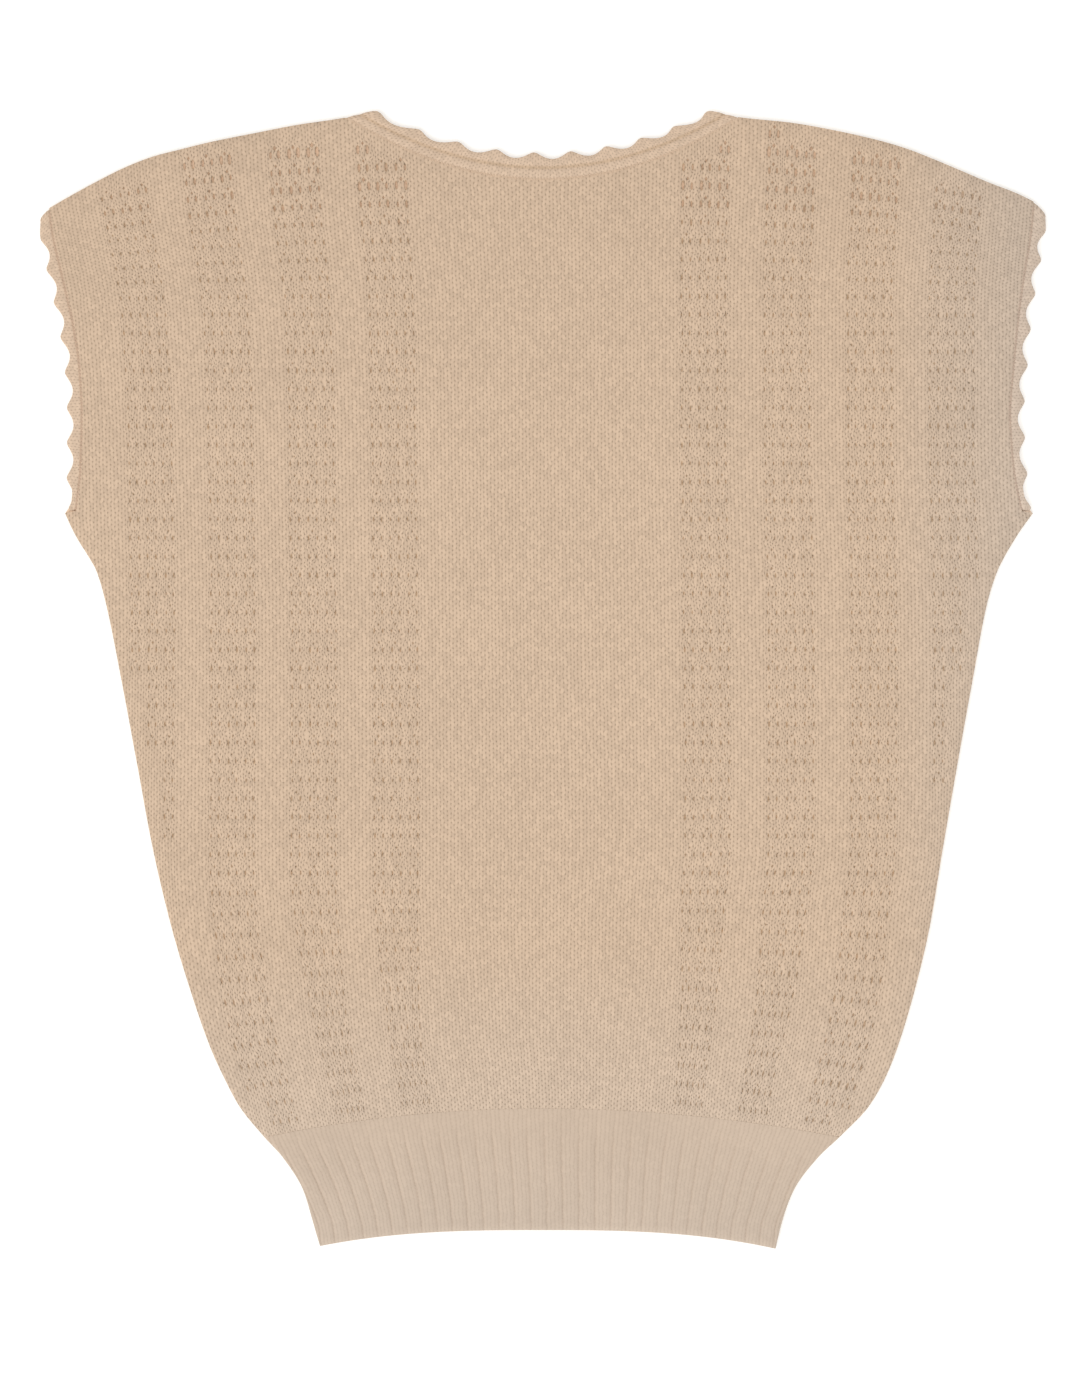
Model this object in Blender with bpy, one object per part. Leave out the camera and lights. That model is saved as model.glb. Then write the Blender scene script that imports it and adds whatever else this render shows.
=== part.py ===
"""A knitted cotton tank top, laid flat with its front panel up.

The garment lies on the ground plane with its neck towards +Y. Sizes are in millimetres: "across" is measured from
the middle of its width, "up" from the hem corners towards the neck, and "high" from the ground.
"""

import functools
import math
from collections import namedtuple

import bmesh
import bpy
import numpy as np

MM = 0.001
LENGTH = 600.0
WALL = 2.0
SEAM = 0.3
BACK_TOP = WALL
FRONT_UNDER = WALL + SEAM
MIDDLE_HIGH = WALL + SEAM / 2

# The sides from the hem to the underarm, then the armhole seams from the underarm to the shoulder.
Edge = namedtuple("Edge", "up left right")
SIDE_EDGES = (
    Edge(0.0, -116.5, 123.0),
    Edge(14.0, -120.6, 126.4),
    Edge(31.0, -125.8, 132.7),
    Edge(48.0, -136.4, 145.3),
    Edge(59.0, -146.4, 156.9),
    Edge(75.0, -159.4, 172.2),
    Edge(90.0, -167.4, 180.8),
    Edge(105.0, -174.3, 186.9),
    Edge(138.0, -185.8, 196.8),
    Edge(170.0, -195.3, 204.3),
    Edge(210.0, -204.8, 211.0),
    Edge(255.0, -213.2, 218.8),
    Edge(300.0, -221.6, 226.9),
    Edge(340.0, -229.7, 234.5),
    Edge(358.0, -235.0, 240.3),
    Edge(373.0, -244.2, 248.6),
    Edge(381.0, -248.4, 253.8),
    Edge(387.4, -251.2, 258.6),
)
ARMHOLE_SEAMS = (
    Edge(388.6, -245.5, 252.5),
    Edge(412.0, -243.0, 248.2),
    Edge(440.0, -242.3, 246.4),
    Edge(465.0, -243.7, 248.3),
    Edge(490.0, -247.6, 250.7),
    Edge(513.0, -252.9, 253.9),
    Edge(536.0, -258.0, 257.5),
    Edge(552.0, -260.0, 259.0),
)
ARMHOLE_WIDTHS = (
    Edge(388.6, 5.4, 5.8),
    Edge(412.0, 7.6, 7.4),
    Edge(440.0, 8.2, 7.9),
    Edge(490.0, 8.1, 7.6),
    Edge(536.0, 6.5, 7.8),
    Edge(552.0, 4.0, 6.4),
)

# The height of the shoulder line, by the distance out from the neck's middle.
Shoulder = namedtuple("Shoulder", "out left right")
SHOULDER_LINE = (
    Shoulder(88.0, 599.6, 599.2),
    Shoulder(105.0, 595.6, 595.8),
    Shoulder(130.0, 591.8, 593.2),
    Shoulder(150.0, 587.9, 589.8),
    Shoulder(175.0, 582.9, 584.3),
    Shoulder(190.0, 579.2, 580.0),
    Shoulder(205.0, 575.3, 574.3),
    Shoulder(220.0, 569.5, 568.0),
    Shoulder(235.0, 562.0, 561.6),
    Shoulder(250.0, 553.8, 555.8),
    Shoulder(262.0, 546.8, 549.8),
)

# The neck is three parabolas: the tips of the scallops, the groove above the plain strip, and the panel's seam.
NeckLine = namedtuple("NeckLine", "share half_width shoulder_up depth")
NECK_MIDDLE = 0.3
NECK_LINES = (
    NeckLine(0.0, 103.3, 596.0, 32.6),
    NeckLine(0.42, 97.4, 597.6, 28.9),
    NeckLine(1.0, 88.0, 599.6, 22.2),
)
HIDDEN_NECK_DROP = 6.0
NECK_BITES = 9
NECK_BITES_SHIFT = 0.06
ARMHOLE_BITES = 8
ARMHOLE_TIPS = {"left": (387.5, 535.5), "right": (389.5, 541.0)}
BITE_DEPTH = 3.5
STEPS_PER_BITE = 5
FOLD_STEPS = 5

# Where the ribbed hem meets the panel, and the hem's lower edge, both lower at the sides.
JOIN_MIDDLE_UP = 74.2
JOIN_SIDE_UP = 59.0
JOIN_CURVE = 2.0
HEM_MIDDLE_UP = 9.8
HEM_CORNERS_UP = (1.4, 0.0)
HEM_CURVE = 2.8

# How the knitting spreads at the shoulders and draws in at the rib.
Draw = namedtuple("Draw", "up middle left right")
DRAW_IN = (
    Draw(59.0, 5.8, 0.850, 0.840),
    Draw(84.0, 5.3, 0.885, 0.880),
    Draw(115.0, 4.2, 0.930, 0.935),
    Draw(147.0, 4.2, 0.960, 0.965),
    Draw(178.0, 4.2, 0.980, 0.980),
    Draw(210.0, 4.7, 0.990, 1.000),
    Draw(336.0, 3.4, 0.980, 1.010),
    Draw(431.0, 2.9, 0.985, 1.000),
    Draw(494.0, 2.9, 1.000, 1.000),
    Draw(552.0, 2.1, 1.042, 1.020),
    Draw(600.0, 2.1, 1.065, 1.035),
)

# Each lace stripe, by how far its two edges lie from the middle of the panel.
Stripe = namedtuple("Stripe", "inner outer")
STRIPES = (
    Stripe(68.2, 96.1),
    Stripe(111.9, 140.3),
    Stripe(155.6, 183.5),
    Stripe(198.8, 226.4),
)
LACE_ROWS_ACROSS = 3
LACE_DEPTH = 0.5
PLAIN_STEPS = 4

RIM_WIDTH = 2.4
RIM_HIGH = 0.8
# How the ribs of the hem fan out with height: where the middle furrow lies, how wide the ribs beside it are, and
# how much each next pair of ribs spreads.
RibFan = namedtuple("RibFan", "up middle pitch spread")
RIB_FAN = (
    RibFan(0.0, 2.8, 8.42, -0.034),
    RibFan(12.6, 2.6, 8.48, -0.030),
    RibFan(23.2, 2.5, 8.54, -0.017),
    RibFan(33.7, 2.1, 8.64, -0.005),
    RibFan(44.2, 1.6, 8.76, 0.009),
    RibFan(54.8, 1.2, 8.95, 0.019),
    RibFan(65.3, 1.1, 9.15, 0.025),
    RibFan(74.2, 1.1, 9.30, 0.029),
)
RIB_DEPTH = 0.8
FURROW_SHARE = 0.13
FURROWS_EACH_SIDE = 16
PUFF = 0.9
PUFF_REACH = 45.0
BACK_COLUMNS = 30
BACK_RIB_COLUMNS = 14

COTTON_COLOUR = (0.638, 0.474, 0.342, 1.0)
RIB_COLOUR = (0.607, 0.489, 0.386, 1.0)
ROUGHNESS = 0.9


def column(table, key, value, at):
    """The value column of a table, read at a place along its key column."""
    return float(np.interp(at, [getattr(row, key) for row in table], [getattr(row, value) for row in table]))


def side_name(across):
    return "left" if across < NECK_MIDDLE else "right"


def side_edge(side, up):
    """Where a panel or rib ends at one height, on the left or right side."""
    table = SIDE_EDGES if up <= SIDE_EDGES[-1].up else ARMHOLE_SEAMS
    return column(table, "up", side, up)


def ends_of(row):
    """The two ends of a row of points, from the heights at which it meets the left and right sides."""
    return side_edge("left", row[0]), side_edge("right", row[1])


def shoulder_up(across):
    return column(SHOULDER_LINE, "out", side_name(across), abs(across - NECK_MIDDLE))


def neck_point(turn, share, drop):
    """A point of the neck: turn runs from -1 at the left shoulder to 1 at the right, share from seam to edge."""
    half_width = column(NECK_LINES, "share", "half_width", share)
    shoulder = column(NECK_LINES, "share", "shoulder_up", share)
    depth = column(NECK_LINES, "share", "depth", share) + drop
    return np.array([NECK_MIDDLE + turn * half_width, shoulder - depth * (1 - turn * turn)])


def top_up(across, drop):
    """The panel's upper edge: shoulder, neck seam, shoulder."""
    turn = (across - NECK_MIDDLE) / NECK_LINES[0].half_width
    if abs(turn) < 1:
        return neck_point(turn, 0.0, drop)[1] - SEAM / 0.8
    return shoulder_up(across)


def join_up(across):
    reach = abs(across / side_edge(side_name(across), JOIN_SIDE_UP))
    return JOIN_MIDDLE_UP - (JOIN_MIDDLE_UP - JOIN_SIDE_UP) * reach ** JOIN_CURVE


def hem_up(across):
    corner_up = HEM_CORNERS_UP[0] if side_name(across) == "left" else HEM_CORNERS_UP[1]
    reach = abs(across / side_edge(side_name(across), corner_up))
    return HEM_MIDDLE_UP - (HEM_MIDDLE_UP - corner_up) * reach ** HEM_CURVE


def knit_across(offset, up):
    """Where a column of stitches lies at one height, from its distance to the panel's middle when unstretched."""
    draw = column(DRAW_IN, "up", "left" if offset < 0 else "right", up)
    return column(DRAW_IN, "up", "middle", up) + offset * draw


def puff(across, up):
    """How much the front panel lifts off the back one, nothing at its seams."""
    left, right = ends_of((up, up))
    inside = min(across - left, right - across, up - join_up(across), top_up(across, 0.0) - up)
    rise = min(max(inside / PUFF_REACH, 0.0), 1.0)
    ripple = 0.2 * math.sin(across / 61.0 + 0.7) * math.sin(up / 83.0)
    return rise * rise * (3 - 2 * rise) * (PUFF + ripple)


def new_object(name, mesh, colour):
    """Puts the mesh in the garment's collection with a matte cotton material of its own."""
    material = bpy.data.materials.new(name)
    material.use_nodes = True
    shader = material.node_tree.nodes["Principled BSDF"]
    shader.inputs["Base Color"].default_value = colour
    shader.inputs["Roughness"].default_value = ROUGHNESS
    shader.inputs["Metallic"].default_value = 0.0
    mesh.materials.append(material)
    piece = bpy.data.objects.new(name, mesh)
    garment.objects.link(piece)


def placed(across, up, high):
    return (across * MM, (up - LENGTH / 2) * MM, high * MM)


def wall(name, columns, rows, place, colour):
    """A closed wall from a grid; place gives each point's across, up, inner height and outer height."""
    cloth = bmesh.new()
    bmesh.ops.create_grid(cloth, x_segments=columns - 1, y_segments=rows - 1, size=1.0)
    outer_high = cloth.verts.layers.float.new("outer_high")
    for point in cloth.verts:
        across_step = round((point.co.x + 1) / 2 * (columns - 1))
        up_step = round((point.co.y + 1) / 2 * (rows - 1))
        across, up, inner, outer = place(across_step, up_step)
        point.co = placed(across, up, inner)
        point[outer_high] = outer * MM
    bmesh.ops.remove_doubles(cloth, verts=cloth.verts[:], dist=0.02 * MM)
    extruded = bmesh.ops.extrude_face_region(cloth, geom=cloth.faces[:])["geom"]
    for point in extruded:
        if isinstance(point, bmesh.types.BMVert):
            point.co.z = point[outer_high]
    bmesh.ops.recalc_face_normals(cloth, faces=cloth.faces[:])
    mesh = bpy.data.meshes.new(name)
    cloth.to_mesh(mesh)
    cloth.free()
    new_object(name, mesh, colour)


def between(across, row, lower, upper):
    """The height of a row of points at one place across, between a lower and an upper curve."""
    ends = ends_of(row)
    shares = [(up - lower(end)) / (upper(end) - lower(end)) for end, up in zip(ends, row)]
    share = np.interp(across, ends, shares)
    return lower(across) + share * (upper(across) - lower(across))


def rim(distance, full, seam_high):
    """The height of the outer surface near an edge, from seam_high up to the full height."""
    turn = min(max(distance / RIM_WIDTH, 0.0), 1.0)
    return seam_high + (full - seam_high) * math.sqrt(1 - (1 - turn) ** 2)


def front_offsets():
    """Columns of the front panel, each with its depth: the plain middle, the lace stripes and the neck's corners."""
    offsets = [(0.0, 0.0)]
    for side, draw in ((-1, DRAW_IN[-1].left), (1, DRAW_IN[-1].right)):
        for step in range(1, PLAIN_STEPS):
            offsets.append((side * STRIPES[0].inner * step / PLAIN_STEPS, 0.0))
        for stripe in STRIPES:
            steps = 2 * LACE_ROWS_ACROSS
            width = stripe.outer - stripe.inner
            for step in range(steps + 1):
                offset = stripe.inner + width * step / steps
                offsets.append((side * offset, LACE_DEPTH * (step % 2)))
        neck_corner = NECK_MIDDLE + side * NECK_LINES[0].half_width
        offsets.append(((neck_corner - DRAW_IN[-1].middle) / draw, 0.0))
    return sorted(offsets)


def shoulder_tips():
    """The heights of the panels' two outer shoulder corners."""
    last_row = (ARMHOLE_SEAMS[-1].up, ARMHOLE_SEAMS[-1].up)
    return tuple(shoulder_up(end) for end in ends_of(last_row))


def panel_rows():
    """The heights at which each row of points meets the left and right sides."""
    heights = [edge.up for edge in SIDE_EDGES + ARMHOLE_SEAMS if edge.up >= JOIN_SIDE_UP]
    rows = [(up, up) for up in heights[:-1]]
    left, right = shoulder_tips()
    return rows + [(left - RIM_WIDTH, right - RIM_WIDTH), (left, right)]


def knitted_column(step, places, ends, stretched):
    """Where a column of points lies across, and its depth; columns past a side gather at that side's rim."""
    left, right = ends
    last = len(places) + 3
    if step < 2:
        return left + RIM_WIDTH * step, 0.0
    if step > last - 2:
        return right - RIM_WIDTH * (last - step), 0.0
    place, depth = places[step - 2]
    across = stretched(place)
    if across <= left + RIM_WIDTH:
        return left + RIM_WIDTH, 0.0
    if across >= right - RIM_WIDTH:
        return right - RIM_WIDTH, 0.0
    return across, depth


def front_panel():
    offsets = front_offsets()
    rows = panel_rows()

    def place(across_step, up_step):
        row = rows[up_step]
        left, right = ends_of(row)
        stretched = functools.partial(knit_across, up=sum(row) / 2)
        across, depth = knitted_column(across_step, offsets, (left, right), stretched)
        up = between(across, row, join_up, lambda at: top_up(at, 0.0))
        inner = FRONT_UNDER + puff(across, up)
        inside = min(across - left, right - across, top_up(across, 0.0) - up)
        outer = rim(inside, inner + WALL - depth, FRONT_UNDER + RIM_HIGH)
        return across, up, inner, outer

    wall("front_panel", len(offsets) + 4, len(rows), place, COTTON_COLOUR)


def back_panel():
    rows = panel_rows()

    def place(across_step, up_step):
        left, right = ends_of(rows[up_step])
        across = left + (right - left) * across_step / BACK_COLUMNS
        up = between(across, rows[up_step], join_up, lambda at: top_up(at, HIDDEN_NECK_DROP))
        return across, up, BACK_TOP, 0.0

    wall("back_panel", BACK_COLUMNS + 1, len(rows), place, COTTON_COLOUR)


def rib_rows():
    """Rows of the hem ribs, from the hem's corners to a seam's gap under the panels."""
    inner = [(edge.up, edge.up) for edge in SIDE_EDGES if max(HEM_CORNERS_UP) < edge.up < JOIN_SIDE_UP]
    return [HEM_CORNERS_UP] + inner + [(JOIN_SIDE_UP - SEAM, JOIN_SIDE_UP - SEAM)]


def under_panel(across):
    return join_up(across) - SEAM


def rib_across(rib, up):
    """Where a place on the ribs lies at one height, counted in ribs from the middle furrow."""
    pitch = column(RIB_FAN, "up", "pitch", up)
    spread = column(RIB_FAN, "up", "spread", up)
    return column(RIB_FAN, "up", "middle", up) + rib * (pitch + spread * abs(rib))


def front_hem_rib():
    rows = rib_rows()
    places = []
    for furrow in range(-FURROWS_EACH_SIDE, FURROWS_EACH_SIDE + 1):
        places += [(furrow - FURROW_SHARE, 0.0), (furrow, RIB_DEPTH), (furrow + FURROW_SHARE, 0.0)]

    def place(across_step, up_step):
        row = rows[up_step]
        left, right = ends_of(row)
        stretched = functools.partial(rib_across, up=sum(row) / 2)
        across, depth = knitted_column(across_step, places, (left, right), stretched)
        up = between(across, row, hem_up, under_panel)
        inside = min(across - left, right - across, up - hem_up(across))
        outer = rim(inside, FRONT_UNDER + WALL - depth, FRONT_UNDER + RIM_HIGH)
        return across, up, FRONT_UNDER, outer

    wall("front_hem_rib", len(places) + 4, len(rows), place, RIB_COLOUR)


def back_hem_rib():
    rows = rib_rows()

    def place(across_step, up_step):
        left, right = ends_of(rows[up_step])
        across = left + (right - left) * across_step / BACK_RIB_COLUMNS
        up = between(across, rows[up_step], hem_up, under_panel)
        return across, up, BACK_TOP, 0.0

    wall("back_hem_rib", BACK_RIB_COLUMNS + 1, len(rows), place, RIB_COLOUR)


def bite(phase):
    """How deep the scalloped edge is cut between two tips, from 0 at a tip to 1 in the middle."""
    blunt = 0.2
    return (math.hypot(math.sin(math.pi * phase), blunt) - blunt) / (math.hypot(1, blunt) - blunt)


def loop_trim(name, base, bites, section, start_fold, end_fold, colour):
    """An edging folded flat: over the front from start to end, under itself, and back along the hidden side.

    base gives a point across and up from the way along, the share of the width and whether the layer is hidden.
    section lists the share of the width and the wall's thickness there. The folds are unit vectors out of each end.
    """
    steps = bites * STEPS_PER_BITE
    path = [(step / steps, 0.0, end_fold) for step in range(steps + 1)]
    path += [(1.0, math.pi * step / FOLD_STEPS, end_fold) for step in range(1, FOLD_STEPS)]
    path += [(1 - step / steps, math.pi, start_fold) for step in range(steps + 1)]
    path += [(0.0, math.pi * (1 - step / FOLD_STEPS), start_fold) for step in range(1, FOLD_STEPS)]
    around = [(share, -WALL / 2) for share, thick in section]
    around += [(share, thick - WALL / 2) for share, thick in reversed(section)]
    radius = MIDDLE_HIGH - WALL / 2
    band = bmesh.new()
    bmesh.ops.create_grid(band, x_segments=len(path), y_segments=len(around), size=1.0)
    for point in band.verts:
        along, turn, fold = path[round((point.co.x + 1) / 2 * len(path)) % len(path)]
        share, height = around[round((point.co.y + 1) / 2 * len(around)) % len(around)]
        spot = base(along, share, turn > math.pi / 2)
        spot = spot + np.array(fold) * (radius + height) * math.sin(turn)
        point.co = placed(spot[0], spot[1], MIDDLE_HIGH + (radius + height) * math.cos(turn))
    bmesh.ops.remove_doubles(band, verts=band.verts[:], dist=0.002 * MM)
    bmesh.ops.recalc_face_normals(band, faces=band.faces[:])
    mesh = bpy.data.meshes.new(name)
    band.to_mesh(mesh)
    band.free()
    new_object(name, mesh, colour)


def neck_trim():
    fold_reach = WALL + SEAM / 2
    tangent = np.array([NECK_LINES[1].half_width, 2 * NECK_LINES[1].depth])
    turn_end = 1 - fold_reach / np.linalg.norm(tangent)
    right_fold = tangent / np.linalg.norm(tangent)
    left_fold = right_fold * np.array([-1, 1])

    def base(along, share, hidden):
        even = 2 * along - 1
        turn = turn_end * (even + NECK_BITES_SHIFT * (1 - even * even))
        drop = HIDDEN_NECK_DROP if hidden else 0.0
        cut = bite(along * NECK_BITES)
        seam = neck_point(turn, 0.0, drop)
        spot = neck_point(turn, share, drop)
        inwards = (spot - seam) / max(np.linalg.norm(spot - seam), 1e-6)
        return spot - inwards * BITE_DEPTH * cut * max(share - 0.5, 0.0) * 2

    section = ((0.0, 1.5), (0.2, 2.0), (0.42, 1.4), (0.6, 2.0), (1.0, 1.2))
    loop_trim("neck_trim", base, NECK_BITES, section, left_fold, right_fold, COTTON_COLOUR)


def armhole_trim(name, side, tip_up, outwards):
    bottom = ARMHOLE_SEAMS[0].up + WALL + SEAM / 2
    top = tip_up - WALL - SEAM / 2
    first_tip, last_tip = ARMHOLE_TIPS[side]

    def base(along, share, hidden):
        up = bottom + (top - bottom) * along
        cut = bite(max(last_tip - up, 0.0) / (last_tip - first_tip) * ARMHOLE_BITES)
        seam = column(ARMHOLE_SEAMS, "up", side, up) + outwards * SEAM
        width = column(ARMHOLE_WIDTHS, "up", side, up) - SEAM
        reach = share * width - BITE_DEPTH * cut * max(share - 0.5, 0.0) * 2
        fall = share * width * along ** 8
        return np.array([seam + outwards * reach, up - fall])

    section = ((0.0, 1.5), (0.2, 2.0), (0.75, 2.0), (1.0, 1.2))
    down = (0.0, -1.0)
    tip = (outwards * 0.2, 0.98)
    loop_trim(name, base, ARMHOLE_BITES, section, down, tip, COTTON_COLOUR)


for old in list(bpy.data.objects):
    bpy.data.objects.remove(old, do_unlink=True)
garment = bpy.data.collections.new("tank_top")
bpy.context.scene.collection.children.link(garment)

front_panel()
back_panel()
front_hem_rib()
back_hem_rib()
neck_trim()
left_tip_up, right_tip_up = shoulder_tips()
armhole_trim("armhole_trim_left", "left", left_tip_up, -1)
armhole_trim("armhole_trim_right", "right", right_tip_up, 1)
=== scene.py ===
import math
from collections import namedtuple

import bmesh
import bpy
import numpy as np
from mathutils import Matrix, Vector
from mathutils.geometry import delaunay_2d_cdt


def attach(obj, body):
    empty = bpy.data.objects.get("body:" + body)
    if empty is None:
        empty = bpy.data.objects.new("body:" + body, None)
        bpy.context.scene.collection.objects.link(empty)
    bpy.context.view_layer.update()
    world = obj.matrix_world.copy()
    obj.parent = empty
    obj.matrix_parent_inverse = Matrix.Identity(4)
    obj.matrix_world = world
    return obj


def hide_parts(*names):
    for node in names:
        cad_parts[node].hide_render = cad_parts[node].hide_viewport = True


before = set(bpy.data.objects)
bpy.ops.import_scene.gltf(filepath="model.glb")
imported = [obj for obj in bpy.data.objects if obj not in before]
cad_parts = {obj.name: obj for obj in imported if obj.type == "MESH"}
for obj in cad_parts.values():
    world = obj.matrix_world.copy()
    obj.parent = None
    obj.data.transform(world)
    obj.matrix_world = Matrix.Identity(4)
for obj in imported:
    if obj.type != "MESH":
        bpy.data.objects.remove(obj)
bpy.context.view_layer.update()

MM = 0.001
LENGTH = 600.0
VIEW_HEIGHT = 725.5
VIEW_MIDDLE = (-1.05, -5.2)
LENS = 120.0
SENSOR = 36.0
CLOTH_TOP = 4.0
TABLE_REACH = 4000.0
TABLE_ROUGHNESS = 0.8
TABLE_GLOW = 0.3
TABLE_COLOUR = (0.90, 0.90, 0.885, 1.0)
ROOM_LIGHT = 0.82
WINDOW_LIGHT = 0.95
WINDOW_SOFTNESS = math.radians(50)
WINDOW_TILT = (math.radians(32), math.radians(-28), 0.0)

overhead = bpy.data.cameras.new("overhead")
overhead.lens = LENS
overhead.sensor_fit = "VERTICAL"
overhead.sensor_width = SENSOR
overhead.sensor_height = SENSOR
camera = bpy.data.objects.new("overhead", overhead)
camera_high = CLOTH_TOP + VIEW_HEIGHT * LENS / SENSOR
camera.location = (VIEW_MIDDLE[0] * MM, VIEW_MIDDLE[1] * MM, camera_high * MM)
bpy.context.scene.collection.objects.link(camera)
bpy.context.scene.camera = camera
bpy.context.scene.view_settings.view_transform = "Standard"

room = bpy.data.worlds.new("white_room")
room.use_nodes = True
room.node_tree.nodes["Background"].inputs["Color"].default_value = (1.0, 1.0, 1.0, 1.0)
room.node_tree.nodes["Background"].inputs["Strength"].default_value = ROOM_LIGHT
bpy.context.scene.world = room

window = bpy.data.lights.new("window", "SUN")
window.energy = WINDOW_LIGHT
window.angle = WINDOW_SOFTNESS
window_object = bpy.data.objects.new("window", window)
window_object.rotation_euler = WINDOW_TILT
bpy.context.scene.collection.objects.link(window_object)

table_mesh = bpy.data.meshes.new("table_top")
table_corners = ((-1, -1), (1, -1), (1, 1), (-1, 1))
table_points = [(x * TABLE_REACH * MM, y * TABLE_REACH * MM, 0.0) for x, y in table_corners]
table_mesh.from_pydata(table_points, [], [(0, 1, 2, 3)])
table_top = bpy.data.objects.new("table_top", table_mesh)
table_paint = bpy.data.materials.new("table_paint")
table_paint.use_nodes = True
paint_shader = table_paint.node_tree.nodes["Principled BSDF"]
paint_shader.inputs["Base Color"].default_value = TABLE_COLOUR
paint_shader.inputs["Roughness"].default_value = TABLE_ROUGHNESS
paint_shader.inputs["Emission Color"].default_value = TABLE_COLOUR
paint_shader.inputs["Emission Strength"].default_value = TABLE_GLOW
table_mesh.materials.append(table_paint)
bpy.context.scene.collection.objects.link(table_top)


# The back panel: the half of the knitted tube that lies on the table. It is plain stocking stitch in beige
# cotton, knitted from the rib up in wales, the columns of stitches, and courses, the rows of them.
WALL = 2.0
SEAM = 0.3
RIM_WIDTH = 2.4
RIM_HIGH = 0.8
NECK_DENT = 0.12
ARMHOLE_DENT = 0.32
WALE_FURROW = 0.12
TUCK = 0.28
TIP_UP = 387.4
UNDERARM_UP = 388.6
JOIN_MIDDLE_UP = 74.2
JOIN_SIDE_UP = 59.0
JOIN_CURVE = 2.0
COURSES = 222
COURSES_TO_TIP = 128
COURSE = (TIP_UP - JOIN_MIDDLE_UP + TUCK) / COURSES_TO_TIP
KNIT_ROUNDS = 7
MARK_ROUNDS = 6
HELD = 1.5
MERGE = 0.25
SLIVER = 0.02

Edge = namedtuple("Edge", "up left right")
SIDE_EDGES = (
    Edge(0.0, -116.5, 123.0),
    Edge(14.0, -120.6, 126.4),
    Edge(31.0, -125.8, 132.7),
    Edge(48.0, -136.4, 145.3),
    Edge(59.0, -146.4, 156.9),
    Edge(75.0, -159.4, 172.2),
    Edge(90.0, -167.4, 180.8),
    Edge(105.0, -174.3, 186.9),
    Edge(138.0, -185.8, 196.8),
    Edge(170.0, -195.3, 204.3),
    Edge(210.0, -204.8, 211.0),
    Edge(255.0, -213.2, 218.8),
    Edge(300.0, -221.6, 226.9),
    Edge(340.0, -229.7, 234.5),
    Edge(358.0, -235.0, 240.3),
    Edge(373.0, -244.2, 248.6),
    Edge(381.0, -248.4, 253.8),
    Edge(387.4, -251.2, 258.6),
)
ARMHOLE_SEAMS = (
    Edge(388.6, -245.5, 252.5),
    Edge(412.0, -243.0, 248.2),
    Edge(440.0, -242.3, 246.4),
    Edge(465.0, -243.7, 248.3),
    Edge(490.0, -247.6, 250.7),
    Edge(513.0, -252.9, 253.9),
    Edge(536.0, -258.0, 257.5),
    Edge(552.0, -260.0, 259.0),
)
Shoulder = namedtuple("Shoulder", "out left right")
SHOULDER_LINE = (
    Shoulder(88.0, 599.6, 599.2),
    Shoulder(105.0, 595.6, 595.8),
    Shoulder(130.0, 591.8, 593.2),
    Shoulder(150.0, 587.9, 589.8),
    Shoulder(175.0, 582.9, 584.3),
    Shoulder(190.0, 579.2, 580.0),
    Shoulder(205.0, 575.3, 574.3),
    Shoulder(220.0, 569.5, 568.0),
    Shoulder(235.0, 562.0, 561.6),
    Shoulder(250.0, 553.8, 555.8),
    Shoulder(262.0, 546.8, 549.8),
)
NeckLine = namedtuple("NeckLine", "share half_width shoulder_up depth")
NECK_MIDDLE = 0.3
NECK_LINES = (
    NeckLine(0.0, 103.3, 596.0, 32.6),
    NeckLine(0.42, 97.4, 597.6, 28.9),
    NeckLine(1.0, 88.0, 599.6, 22.2),
)
HIDDEN_NECK_DROP = 6.0
# The courses drop outwards over the shoulders, and along the rib they follow its curved top.
SHOULDER_DROP = 24.0
SHOULDER_OUT = 253.0
SHOULDER_FROM = 484.0
SHOULDER_REACH = 100.0
RIB_REACH = 130.0
Draw = namedtuple("Draw", "up middle left right")
DRAW_IN = (
    Draw(59.0, 5.8, 0.850, 0.840),
    Draw(84.0, 5.3, 0.885, 0.880),
    Draw(115.0, 4.2, 0.930, 0.935),
    Draw(147.0, 4.2, 0.960, 0.965),
    Draw(178.0, 4.2, 0.980, 0.980),
    Draw(210.0, 4.7, 0.990, 1.000),
    Draw(336.0, 3.4, 0.980, 1.010),
    Draw(431.0, 2.9, 0.985, 1.000),
    Draw(494.0, 2.9, 1.000, 1.000),
    Draw(552.0, 2.1, 1.042, 1.020),
    Draw(600.0, 2.1, 1.065, 1.035),
)
# How far each wale lies from the middle of the panel, higher up and close to the rib. The lace stripes draw
# their wales together, and the inner two on each side are drawn in further as the panel gathers into the rib.
Wale = namedtuple("Wale", "count out at_rib")
WALES = (
    Wale(0, 0.0, 0.0),
    Wale(18, 68.2, 72.4),
    Wale(27, 96.1, 92.2),
    Wale(31, 111.9, 112.4),
    Wale(40, 140.3, 132.8),
    Wale(44, 155.6, 153.5),
    Wale(53, 183.5, 183.5),
    Wale(57, 198.8, 198.8),
    Wale(66, 226.4, 226.4),
    Wale(80, 279.2, 279.2),
)
GATHER_UP = 200.0
GATHER_REACH = 115.0
# The yarn's colour, and the darker colour of painted shade where the yarn turns under between stitches.
COTTON = (0.672, 0.500, 0.358, 1.0)
COTTON_PAINTED_SHADE = (0.430, 0.302, 0.201, 1.0)
# Painted shade that browns the yarn in hollows: inside the eyelets and in the edgings' furrows.
HOLLOW_PAINTED_SHADE = (0.82, 0.77, 0.68, 1.0)
# How strongly the back panel's inner side glows, painted light for what comes through the front's thin cloth.
PAINTED_GLOW_THROUGH_CLOTH = 0.5
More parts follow.
